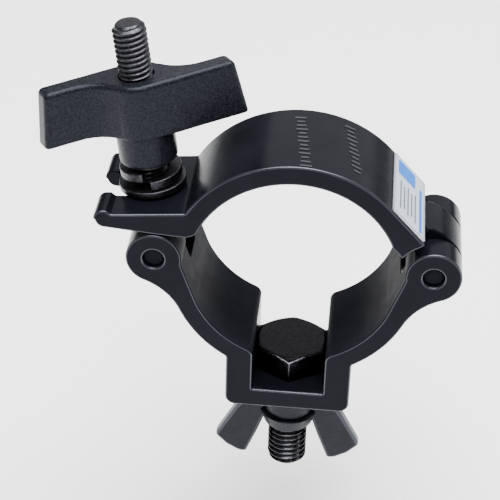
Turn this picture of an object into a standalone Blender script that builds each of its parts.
"""A slim pipe clamp for stage lighting: two hinged jaws round a 48 mm tube, a swing bolt with a T-knob
that holds them shut, and an M10 bolt with a wing nut that holds the fixture.

The origin is on the pipe axis at the middle of the clamp's width. X runs from the swing bolt to the
hinge, Y runs along the pipe, and Z is up. Lengths are in millimetres until they are placed.
"""

import math

import bmesh
import bpy
from mathutils import Matrix, Vector

MM = 0.001
TAU = 2 * math.pi

# The pipe and the band round it
BORE_RADIUS = 24.2
BAND_THICKNESS = 4.7
WIDTH = 27.0
OUTER_RADIUS = BORE_RADIUS + BAND_THICKNESS
HALF_WIDTH = WIDTH / 2

# The two pins, level with each other, left and right of the pipe
PIN_X = 32.3
PIN_Z = 1.8
PIN_RADIUS = 2.42
PIN_HOLE_RADIUS = 2.5
PIN_RECESS = 1.2
EAR_RADIUS = 6.5
EAR_FILLET = 15.0
EAR_INNER_END = (22.3, -9.4)
KNUCKLE_WIDTH = 12.0
KNUCKLE_SLOT = 12.4
KNUCKLE_POCKET_RADIUS = 8.4
EYE_SLOT = 8.6
EYE_POCKET_RADIUS = 9.0

# The base under the band, with a channel that keeps the M10 head from turning
BASE_WIDTH = 30.0
BASE_BOTTOM_Z = -38.9
BASE_CORNER = 2.4
CHANNEL_WIDTH = 17.3
CHANNEL_FLOOR_Z = -34.0
CHANNEL_MOUTH_CORNER = 2.5

# The upper jaw's arm, whose seat faces up the swing bolt. The bolt leans out a little more than that.
LEAN = math.radians(5.0)
BOLT_LEAN = math.radians(7.6)
SEAT_HEIGHT = 12.1
ARM_UNDERSIDE_Z = PIN_Z + EAR_RADIUS + 0.3
ARM_REACH = 12.9
ARM_SLOT = 9.4
ARM_SLOT_DEPTH = 5.4
LIP_HEIGHT = 1.0
LIP_LENGTH = 3.3
LIP_SLOPE = 0.8
ARM_TIP_RADIUS = 2.2
ARM_ROOT = (-25.2, 12.1)
ARM_ROOT_RADIUS = 3.9

# The upper jaw's flat right flank, which carries the label
FLANK_ANGLE = math.radians(43.0)
FLANK_LENGTH = 12.4
HINGE_RELIEF_RADIUS = 8.9
LABEL_MARGIN = 0.5
LABEL_THICKNESS = 0.2

# The swing bolt, its washers and the knob, as heights above the swing pin
BOLT_RADIUS = 3.88
BOLT_END = 53.7
EYE_RADIUS = 6.2
EYE_WIDTH = 8.2
CLEARANCE = 0.2
WASHER_RADIUS = 7.9
WASHER_HOLE = 4.2
WASHER_THICKNESS = 1.6
SPRING_RADIUS = 7.2
SPRING_WIRE_WIDTH = 2.9
SPRING_WIRE_HEIGHT = 2.1
SPRING_RISE = 2.2
SPRING_GAP = math.radians(14)
INSERT_RADIUS = 5.6
INSERT_LENGTH = 14.0
INSERT_STANDS_OUT = 0.8
BOSS_RADIUS = 6.8
BOSS_HEIGHT = 7.6
KNOB_HEIGHT = 21.1
KNOB_HUB_RADIUS = 7.0
KNOB_REACH = 22.2
KNOB_WING_THICKNESS = 5.4
KNOB_TURN = math.radians(27.5)

# The mounting bolt, its washer and the wing nut
M10_RADIUS = 4.9
M10_HOLE_RADIUS = 5.25
M10_HEAD_ACROSS_FLATS = 17.0
M10_HEAD_HEIGHT = 6.4
M10_END_Z = -65.0
M10_WASHER_RADIUS = 10.0
M10_WASHER_THICKNESS = 2.0
NUT_BORE_RADIUS = 5.05
NUT_HEIGHT = 10.9
NUT_WAIST_RADIUS = 6.2
NUT_COLLAR_RADIUS = 7.2
NUT_COLLAR_HEIGHT = 3.6
NUT_WING_THICKNESS = 4.0
NUT_WING_DROP = 11.6
NUT_SPREAD = 18.4

ROUND = 48
MERGE = 0.00001

LEFT_PIN = Vector((-PIN_X, 0, PIN_Z))
RIGHT_PIN = Vector((PIN_X, 0, PIN_Z))
WASHER_TILT = BOLT_LEAN - LEAN
# The flat washer's outer edge is the part of it that comes closest to the seat
WASHER_BASE = (SEAT_HEIGHT + CLEARANCE + WASHER_RADIUS * math.sin(WASHER_TILT)) / math.cos(WASHER_TILT)
SPRING_BASE = WASHER_BASE + WASHER_THICKNESS + CLEARANCE
INSERT_BASE = SPRING_BASE + SPRING_RISE + SPRING_WIRE_HEIGHT + CLEARANCE
KNOB_BASE = INSERT_BASE + INSERT_STANDS_OUT
M10_WASHER_TOP_Z = BASE_BOTTOM_Z - CLEARANCE
NUT_TOP_Z = M10_WASHER_TOP_Z - M10_WASHER_THICKNESS - CLEARANCE


def clear_scene():
    for old in list(bpy.data.objects):
        bpy.data.objects.remove(old, do_unlink=True)


def new_collection(name):
    collection = bpy.data.collections.get(name) or bpy.data.collections.new(name)
    if name not in bpy.context.scene.collection.children:
        bpy.context.scene.collection.children.link(collection)
    return collection


def material(name, colour, roughness, metallic):
    made = bpy.data.materials.new(name)
    made.use_nodes = True
    shader = made.node_tree.nodes["Principled BSDF"]
    shader.inputs["Base Color"].default_value = (*colour, 1)
    shader.inputs["Roughness"].default_value = roughness
    shader.inputs["Metallic"].default_value = metallic
    return made


def arc(centre, radius, start, end, steps):
    """Points along a circle in the XZ plane, from one angle to another in degrees."""
    angles = (math.radians(start + (end - start) * i / steps) for i in range(steps + 1))
    return [(centre[0] + radius * math.cos(a), centre[1] + radius * math.sin(a)) for a in angles]


def mirrored(points):
    """The outline's other half, as seen in a mirror at X = 0, in the opposite order."""
    return [(-x, z) for x, z in reversed(points)]


def angle_of(centre, point):
    return math.degrees(math.atan2(point[1] - centre[1], point[0] - centre[0]))


def fillet_centre(ear):
    """The centre of the fillet under an ear, outside both the ear and the band."""
    a = EAR_RADIUS + EAR_FILLET
    b = OUTER_RADIUS + EAR_FILLET
    distance = math.hypot(*ear)
    along = (b * b - a * a + distance * distance) / (2 * distance)
    across = math.sqrt(b * b - along * along)
    ux, uz = ear[0] / distance, ear[1] / distance
    return (ux * along + uz * across, uz * along - ux * across)


class Builder:
    """Makes the solids and puts each in the clamp's collection, or a cutter in its own."""

    def __init__(self):
        clear_scene()
        self.parts = new_collection("pipe_clamp")
        self.cutters = new_collection("cutters")

    def add(self, name, mesh, paint, origin=Matrix()):
        """An object whose origin and axes are those of its joint."""
        mesh.transform(origin.inverted())
        mesh.materials.clear()
        mesh.materials.append(paint)
        made = bpy.data.objects.new(name, mesh)
        made.matrix_world = origin
        self.parts.objects.link(made)
        return made

    def outline(self, name, points, thickness):
        """A mesh of a flat outline in XZ, in millimetres, as thick as stated along Y."""
        curve = bpy.data.curves.new(name, "CURVE")
        curve.dimensions = "2D"
        curve.fill_mode = "BOTH"
        curve.extrude = thickness / 2 * MM
        spline = curve.splines.new("POLY")
        spline.points.add(len(points) - 1)
        for point, (x, z) in zip(spline.points, points):
            point.co = (x * MM, z * MM, 0, 1)
        spline.use_cyclic_u = True
        flat = bpy.data.objects.new(name, curve)
        self.cutters.objects.link(flat)
        shown = flat.evaluated_get(bpy.context.evaluated_depsgraph_get())
        mesh = bpy.data.meshes.new_from_object(shown)
        bpy.data.objects.remove(flat)
        bpy.data.curves.remove(curve)
        mesh.transform(Matrix.Rotation(math.pi / 2, 4, "X"))
        work = bmesh.new()
        work.from_mesh(mesh)
        bmesh.ops.remove_doubles(work, verts=work.verts, dist=1e-6)
        bmesh.ops.recalc_face_normals(work, faces=work.faces)
        work.to_mesh(mesh)
        work.free()
        return mesh

    def turned(self, name, profile, paint, origin):
        """A ring turned about its own Z: a (radius, height) profile with a Screw modifier."""
        mesh = bpy.data.meshes.new(name)
        work = bmesh.new()
        ring = [work.verts.new((r * MM, 0, z * MM)) for r, z in profile]
        for first, second in zip(ring, ring[1:] + ring[:1]):
            work.edges.new((first, second))
        work.to_mesh(mesh)
        work.free()
        mesh.materials.append(paint)
        made = bpy.data.objects.new(name, mesh)
        made.matrix_world = origin
        self.parts.objects.link(made)
        turn = made.modifiers.new("Turn", "SCREW")
        turn.axis = "Z"
        turn.angle = TAU
        turn.steps = ROUND
        turn.render_steps = ROUND
        turn.use_merge_vertices = True
        turn.merge_threshold = MERGE
        turn.use_normal_calculate = True
        turn.use_normal_flip = True
        return made

    def cylinder(self, radius, low, high, place, segments=ROUND):
        """A mesh of a round bar along its own Z, placed by a matrix."""
        mesh = bpy.data.meshes.new("cylinder")
        work = bmesh.new()
        bmesh.ops.create_cone(
            work,
            cap_ends=True,
            segments=segments,
            radius1=radius * MM,
            radius2=radius * MM,
            depth=(high - low) * MM,
            matrix=place @ Matrix.Translation((0, 0, (low + high) / 2 * MM)),
        )
        work.to_mesh(mesh)
        work.free()
        return mesh

    def box(self, size, place):
        mesh = bpy.data.meshes.new("box")
        work = bmesh.new()
        scale = Matrix.Diagonal((size[0] * MM, size[1] * MM, size[2] * MM, 1))
        bmesh.ops.create_cube(work, size=1, matrix=place @ scale)
        work.to_mesh(mesh)
        work.free()
        return mesh

    def combine(self, target, mesh, operation):
        """Joins a mesh to an object, or cuts it out, and keeps the other solid among the cutters."""
        other = bpy.data.objects.new(f"{target.name}_{operation.lower()}", mesh)
        other.hide_render = True
        other.display_type = "WIRE"
        self.cutters.objects.link(other)
        step = target.modifiers.new(operation.title(), "BOOLEAN")
        step.operation = operation
        step.solver = "EXACT"
        step.object = other

    def cut(self, target, mesh):
        self.combine(target, mesh, "DIFFERENCE")

    def join(self, target, mesh):
        self.combine(target, mesh, "UNION")


def at(x, y, z):
    return Matrix.Translation((x * MM, y * MM, z * MM))


def along_y(pin):
    """Places a bar's own Z along Y, through a pin's centre."""
    return at(pin.x, pin.y, pin.z) @ Matrix.Rotation(math.pi / 2, 4, "X")


def on_swing_bolt(angle=BOLT_LEAN):
    """Places things on the swing bolt: their own Z runs up the bolt from the pin."""
    return at(*LEFT_PIN) @ Matrix.Rotation(-angle, 4, "Y")


def lean(x, height):
    """A point of the seat's frame in the XZ plane: height runs from the swing pin, square to the seat."""
    return (
        -PIN_X + x * math.cos(LEAN) - height * math.sin(LEAN),
        PIN_Z + x * math.sin(LEAN) + height * math.cos(LEAN),
    )


def lower_outline():
    """The right half of the lower jaw, from the base's corner up over the ear to the channel."""
    ear = (PIN_X, PIN_Z)
    half_base = BASE_WIDTH / 2
    half_channel = CHANNEL_WIDTH / 2
    fillet = fillet_centre(ear)
    base_meets = -math.sqrt(OUTER_RADIUS**2 - half_base**2)
    corner = (half_base - BASE_CORNER, BASE_BOTTOM_Z + BASE_CORNER)
    mouth_x = half_channel + CHANNEL_MOUTH_CORNER
    mouth_z = -math.sqrt((BORE_RADIUS + CHANNEL_MOUTH_CORNER) ** 2 - mouth_x**2)
    mouth = (mouth_x, mouth_z)
    inner_start = angle_of((0, 0), EAR_INNER_END)
    band_end = angle_of((0, 0), fillet)
    points = arc(corner, BASE_CORNER, -90, 0, 4)
    points += arc((0, 0), OUTER_RADIUS, angle_of((0, 0), (half_base, base_meets)), band_end, 10)
    points += arc(fillet, EAR_FILLET, band_end + 180, angle_of(fillet, ear), 6)[1:]
    points += arc(ear, EAR_RADIUS, angle_of(fillet, ear) - 180, 190, 24)[1:]
    points += arc((0, 0), BORE_RADIUS, inner_start, angle_of((0, 0), mouth), 14)
    points += arc(mouth, CHANNEL_MOUTH_CORNER, angle_of((0, 0), mouth) + 180, 180, 5)[1:]
    points += [(half_channel, CHANNEL_FLOOR_Z)]
    return points


def lower_jaw(make, paint):
    half = lower_outline()
    whole = half + mirrored(half)
    jaw = make.add("lower_jaw", make.outline("lower_jaw", whole, WIDTH), paint)
    for pin, slot, pocket in (
        (LEFT_PIN, EYE_SLOT, EYE_POCKET_RADIUS),
        (RIGHT_PIN, KNUCKLE_SLOT, KNUCKLE_POCKET_RADIUS),
    ):
        make.cut(jaw, make.cylinder(pocket, -slot / 2, slot / 2, along_y(pin)))
        make.cut(jaw, make.cylinder(PIN_HOLE_RADIUS, -WIDTH, WIDTH, along_y(pin), 32))
    make.cut(jaw, make.cylinder(M10_HOLE_RADIUS, -2 * WIDTH, CHANNEL_FLOOR_Z + 5, Matrix()))
    return jaw


def upper_outline():
    """The upper jaw without its knuckle, from the bore's left end round over the top."""
    flank_start = (OUTER_RADIUS * math.cos(FLANK_ANGLE), OUTER_RADIUS * math.sin(FLANK_ANGLE))
    flank_end = (
        flank_start[0] + FLANK_LENGTH * math.sin(FLANK_ANGLE),
        flank_start[1] - FLANK_LENGTH * math.cos(FLANK_ANGLE),
    )
    hinge = (PIN_X, PIN_Z)
    relief_from = angle_of(hinge, flank_end) + 8
    relief_to = angle_of(hinge, (24.6, 6.6))
    seat_end = lean(-ARM_REACH + LIP_LENGTH + LIP_SLOPE, SEAT_HEIGHT)
    tip_top = lean(-ARM_REACH + ARM_TIP_RADIUS, SEAT_HEIGHT + LIP_HEIGHT - ARM_TIP_RADIUS)
    tip_bottom = (tip_top[0] + 0.4, ARM_UNDERSIDE_Z + 1.0 + ARM_TIP_RADIUS)
    # Where the seat's line meets the outside of the band
    on_seat = Vector(lean(0, SEAT_HEIGHT))
    along = Vector((math.cos(LEAN), math.sin(LEAN)))
    middle = on_seat.dot(along)
    run = -middle - math.sqrt(middle**2 - on_seat.length_squared + OUTER_RADIUS**2)
    seat_start = tuple(on_seat + along * run)
    inner = arc((0, 0), BORE_RADIUS, 150.6, angle_of((0, 0), (22.4, 9.2)), 30)
    points = inner + [(23.4, 8.2)]
    points += arc(hinge, HINGE_RELIEF_RADIUS, relief_to, relief_from, 5)
    points += [flank_end]
    points += arc((0, 0), OUTER_RADIUS, 43.0, angle_of((0, 0), seat_start), 26)
    points += [seat_end, lean(-ARM_REACH + LIP_LENGTH, SEAT_HEIGHT + LIP_HEIGHT)]
    points += arc(tip_top, ARM_TIP_RADIUS, 90, 180, 5)
    points += arc(tip_bottom, ARM_TIP_RADIUS, 185, 265, 5)
    points += [(-PIN_X, ARM_UNDERSIDE_Z), (-27.4, ARM_UNDERSIDE_Z - 0.3)]
    points += arc(ARM_ROOT, ARM_ROOT_RADIUS, 262, 318, 5)
    return points


def knuckle_outline():
    """The knuckle round the hinge pin, with the web that carries it under the flank's end."""
    web = [(31.6, 10.5), (29.2, 10.9), (27.0, 11.6), (25.2, 10.6), (25.4, 8.4)]
    return arc((PIN_X, PIN_Z), EAR_RADIUS, 184, 360 + 44, 30) + [(34.4, 9.1)] + web


def upper_jaw(make, paint):
    outline = make.outline("upper_jaw", upper_outline(), WIDTH)
    jaw = make.add("upper_jaw", outline, paint, at(*RIGHT_PIN))
    make.join(jaw, make.outline("knuckle", knuckle_outline(), KNUCKLE_WIDTH))
    make.cut(jaw, make.cylinder(PIN_HOLE_RADIUS, -WIDTH, WIDTH, along_y(RIGHT_PIN), 32))
    slot_round = ARM_SLOT / 2
    centre = ARM_SLOT_DEPTH - slot_round
    place = on_swing_bolt(LEAN)
    make.cut(jaw, make.cylinder(slot_round, 2, 2 * SEAT_HEIGHT, place @ at(centre, 0, 0)))
    reach = 2 * ARM_REACH
    middle = place @ at(centre - reach / 2, 0, SEAT_HEIGHT)
    make.cut(jaw, make.box((reach, ARM_SLOT, SEAT_HEIGHT), middle))
    return jaw


def rating_label(make, paint):
    """A thin plate on the flat flank, a little inside the flank's edges."""
    turn = Matrix.Rotation(math.pi / 2 - FLANK_ANGLE, 4, "Y")
    off = OUTER_RADIUS + CLEARANCE
    place = turn @ at(FLANK_LENGTH / 2, 0, off)
    size = (FLANK_LENGTH - 2 * LABEL_MARGIN, WIDTH - 2 * LABEL_MARGIN, LABEL_THICKNESS)
    return make.add("rating_label", make.box(size, place), paint, at(*RIGHT_PIN))


def pins(make, swing_paint, hinge_paint):
    reach = HALF_WIDTH - PIN_RECESS
    for name, pin, paint in (
        ("swing_pin", LEFT_PIN, swing_paint),
        ("hinge_pin", RIGHT_PIN, hinge_paint),
    ):
        place = along_y(pin)
        make.add(name, make.cylinder(PIN_RADIUS, -reach, reach, place, 32), paint, place)


def eye_bolt(make, paint):
    rod = make.cylinder(BOLT_RADIUS, 3.2, BOLT_END, on_swing_bolt())
    bolt = make.add("eye_bolt", rod, paint, on_swing_bolt())
    make.join(bolt, make.cylinder(EYE_RADIUS, -EYE_WIDTH / 2, EYE_WIDTH / 2, along_y(LEFT_PIN)))
    make.cut(bolt, make.cylinder(PIN_HOLE_RADIUS, -WIDTH, WIDTH, along_y(LEFT_PIN), 32))
    return bolt


def ring(inner, outer, low, high):
    """A washer's section as a turned profile, down its outer side and back up its hole."""
    return [(outer, high), (outer, low), (inner, low), (inner, high)]


def flat_washer(make, paint):
    profile = ring(WASHER_HOLE, WASHER_RADIUS, WASHER_BASE, WASHER_BASE + WASHER_THICKNESS)
    make.turned("flat_washer", profile, paint, on_swing_bolt())


def spring_washer(make, paint):
    """A ring cut through at the front, with its two ends sprung apart along the bolt."""
    mesh = bpy.data.meshes.new("spring_washer")
    work = bmesh.new()
    inner = SPRING_RADIUS - SPRING_WIRE_WIDTH
    section = ring(inner, SPRING_RADIUS, SPRING_BASE, SPRING_BASE + SPRING_WIRE_HEIGHT)
    steps = 40
    work.faces.new([work.verts.new((r * MM, 0, z * MM)) for r, z in section])
    bmesh.ops.spin(
        work,
        geom=work.verts[:] + work.edges[:] + work.faces[:],
        axis=(0, 0, 1),
        cent=(0, 0, 0),
        dvec=(0, 0, SPRING_RISE * MM / steps),
        steps=steps,
        angle=TAU - SPRING_GAP,
    )
    bmesh.ops.recalc_face_normals(work, faces=work.faces)
    work.to_mesh(mesh)
    work.free()
    mesh.transform(on_swing_bolt() @ Matrix.Rotation(-math.pi / 2 + SPRING_GAP / 2, 4, "Z"))
    make.add("spring_washer", mesh, paint, on_swing_bolt())


def wing_outline():
    """The knob seen along the bolt: two offset wings, each flush with one side of the hub."""
    start = -90.0
    straight = (KNOB_REACH, -KNOB_HUB_RADIUS + 0.2)
    inner = (KNOB_REACH - 0.5, -KNOB_HUB_RADIUS + 0.2 + KNOB_WING_THICKNESS)
    half = arc((0, 0), KNOB_HUB_RADIUS, start, start + 6, 1)
    half += [straight, inner, (11.5, -0.6), (8.2, 1.0), (6.3, 2.9)]
    half += arc((0, 0), KNOB_HUB_RADIUS, 27, 84, 8)
    return half + [(-x, -y) for x, y in half]


def knob(make, plastic, metal):
    top = KNOB_BASE + KNOB_HEIGHT
    wings_base = KNOB_BASE + BOSS_HEIGHT
    wings = make.outline("wings", wing_outline(), top - wings_base)
    wings.transform(Matrix.Rotation(-math.pi / 2, 4, "X"))
    wings.transform(at(0, 0, (top + wings_base) / 2))
    wings.transform(on_swing_bolt() @ Matrix.Rotation(KNOB_TURN, 4, "Z"))
    body = make.add("knob_body", wings, plastic, on_swing_bolt())
    boss = make.cylinder(BOSS_RADIUS, KNOB_BASE, wings_base + 1, on_swing_bolt())
    make.join(body, boss)
    pocket_top = INSERT_BASE + INSERT_LENGTH + CLEARANCE
    pocket = INSERT_RADIUS + CLEARANCE
    make.cut(body, make.cylinder(pocket, KNOB_BASE - 1, pocket_top, on_swing_bolt()))
    make.cut(body, make.cylinder(WASHER_HOLE, KNOB_BASE, top + 1, on_swing_bolt()))
    profile = ring(WASHER_HOLE, INSERT_RADIUS, INSERT_BASE, INSERT_BASE + INSERT_LENGTH)
    make.turned("knob_insert", profile, metal, on_swing_bolt())


def mounting_bolt(make, paint):
    """A hexagon bolt, head down in the channel, with a corner of the head towards the front."""
    head_z = CHANNEL_FLOOR_Z + CLEARANCE
    corner = M10_HEAD_ACROSS_FLATS / 2 / math.cos(math.pi / 6)
    head = make.cylinder(corner, head_z, head_z + M10_HEAD_HEIGHT, Matrix(), 6)
    bolt = make.add("mounting_bolt", head, paint)
    make.join(bolt, make.cylinder(M10_RADIUS, M10_END_Z, head_z + 1, Matrix()))


def mounting_washer(make, paint):
    low = M10_WASHER_TOP_Z - M10_WASHER_THICKNESS
    profile = ring(M10_HOLE_RADIUS, M10_WASHER_RADIUS, low, M10_WASHER_TOP_Z)
    make.turned("mounting_washer", profile, paint, Matrix())


def nut_wing_outline():
    """The right wing: it leaves the hub's side and runs down and out to a rounded end."""
    low = NUT_TOP_Z - NUT_HEIGHT
    tip_z = low - NUT_WING_DROP
    return [
        (5.7, NUT_TOP_Z - 1.0),
        (8.6, NUT_TOP_Z - 1.0),
        (13.4, NUT_TOP_Z - 8.0),
        (NUT_SPREAD - 0.4, tip_z + 6.0),
        (NUT_SPREAD, tip_z + 4.6),
        (15.6, tip_z + 1.9),
        (12.6, tip_z + 0.3),
        (11.0, tip_z),
        (10.3, tip_z + 0.4),
        (7.6, low - 4.0),
        (6.2, low + 0.2),
        (5.7, low + 1.2),
    ]


def wing_nut(make, paint):
    low = NUT_TOP_Z - NUT_HEIGHT
    collar = low + NUT_COLLAR_HEIGHT
    profile = [
        (NUT_WAIST_RADIUS, NUT_TOP_Z),
        (NUT_WAIST_RADIUS, collar),
        (NUT_COLLAR_RADIUS, collar),
        (NUT_WAIST_RADIUS, low),
        (NUT_BORE_RADIUS, low),
        (NUT_BORE_RADIUS, NUT_TOP_Z),
    ]
    nut = make.turned("wing_nut", profile, paint, Matrix())
    right = nut_wing_outline()
    make.join(nut, make.outline("right_wing", right, NUT_WING_THICKNESS))
    make.join(nut, make.outline("left_wing", mirrored(right), NUT_WING_THICKNESS))


def smooth_round_faces():
    for made in bpy.data.collections["pipe_clamp"].objects:
        made.data.shade_smooth()
        made.data.set_sharp_from_angle(angle=math.radians(35))


def main():
    make = Builder()
    coat = ((0.028, 0.029, 0.036), 0.32, 0.0)
    oxide = ((0.022, 0.022, 0.025), 0.3, 1.0)
    lower_jaw(make, material("lower_jaw_coat", *coat))
    upper_jaw(make, material("upper_jaw_coat", *coat))
    rating_label(make, material("silver_film", (0.70, 0.72, 0.75), 0.35, 0.2))
    pins(make, material("swing_pin_oxide", *oxide), material("hinge_pin_oxide", *oxide))
    eye_bolt(make, material("eye_bolt_oxide", *oxide))
    flat_washer(make, material("flat_washer_oxide", *oxide))
    spring_washer(make, material("spring_steel_oxide", *oxide))
    plastic = material("black_nylon", (0.030, 0.031, 0.037), 0.55, 0.0)
    knob(make, plastic, material("insert_brass", (0.60, 0.42, 0.18), 0.3, 1.0))
    mounting_bolt(make, material("mounting_bolt_oxide", *oxide))
    mounting_washer(make, material("mounting_washer_oxide", *oxide))
    wing_nut(make, material("cast_coat", *coat))
    smooth_round_faces()


main()
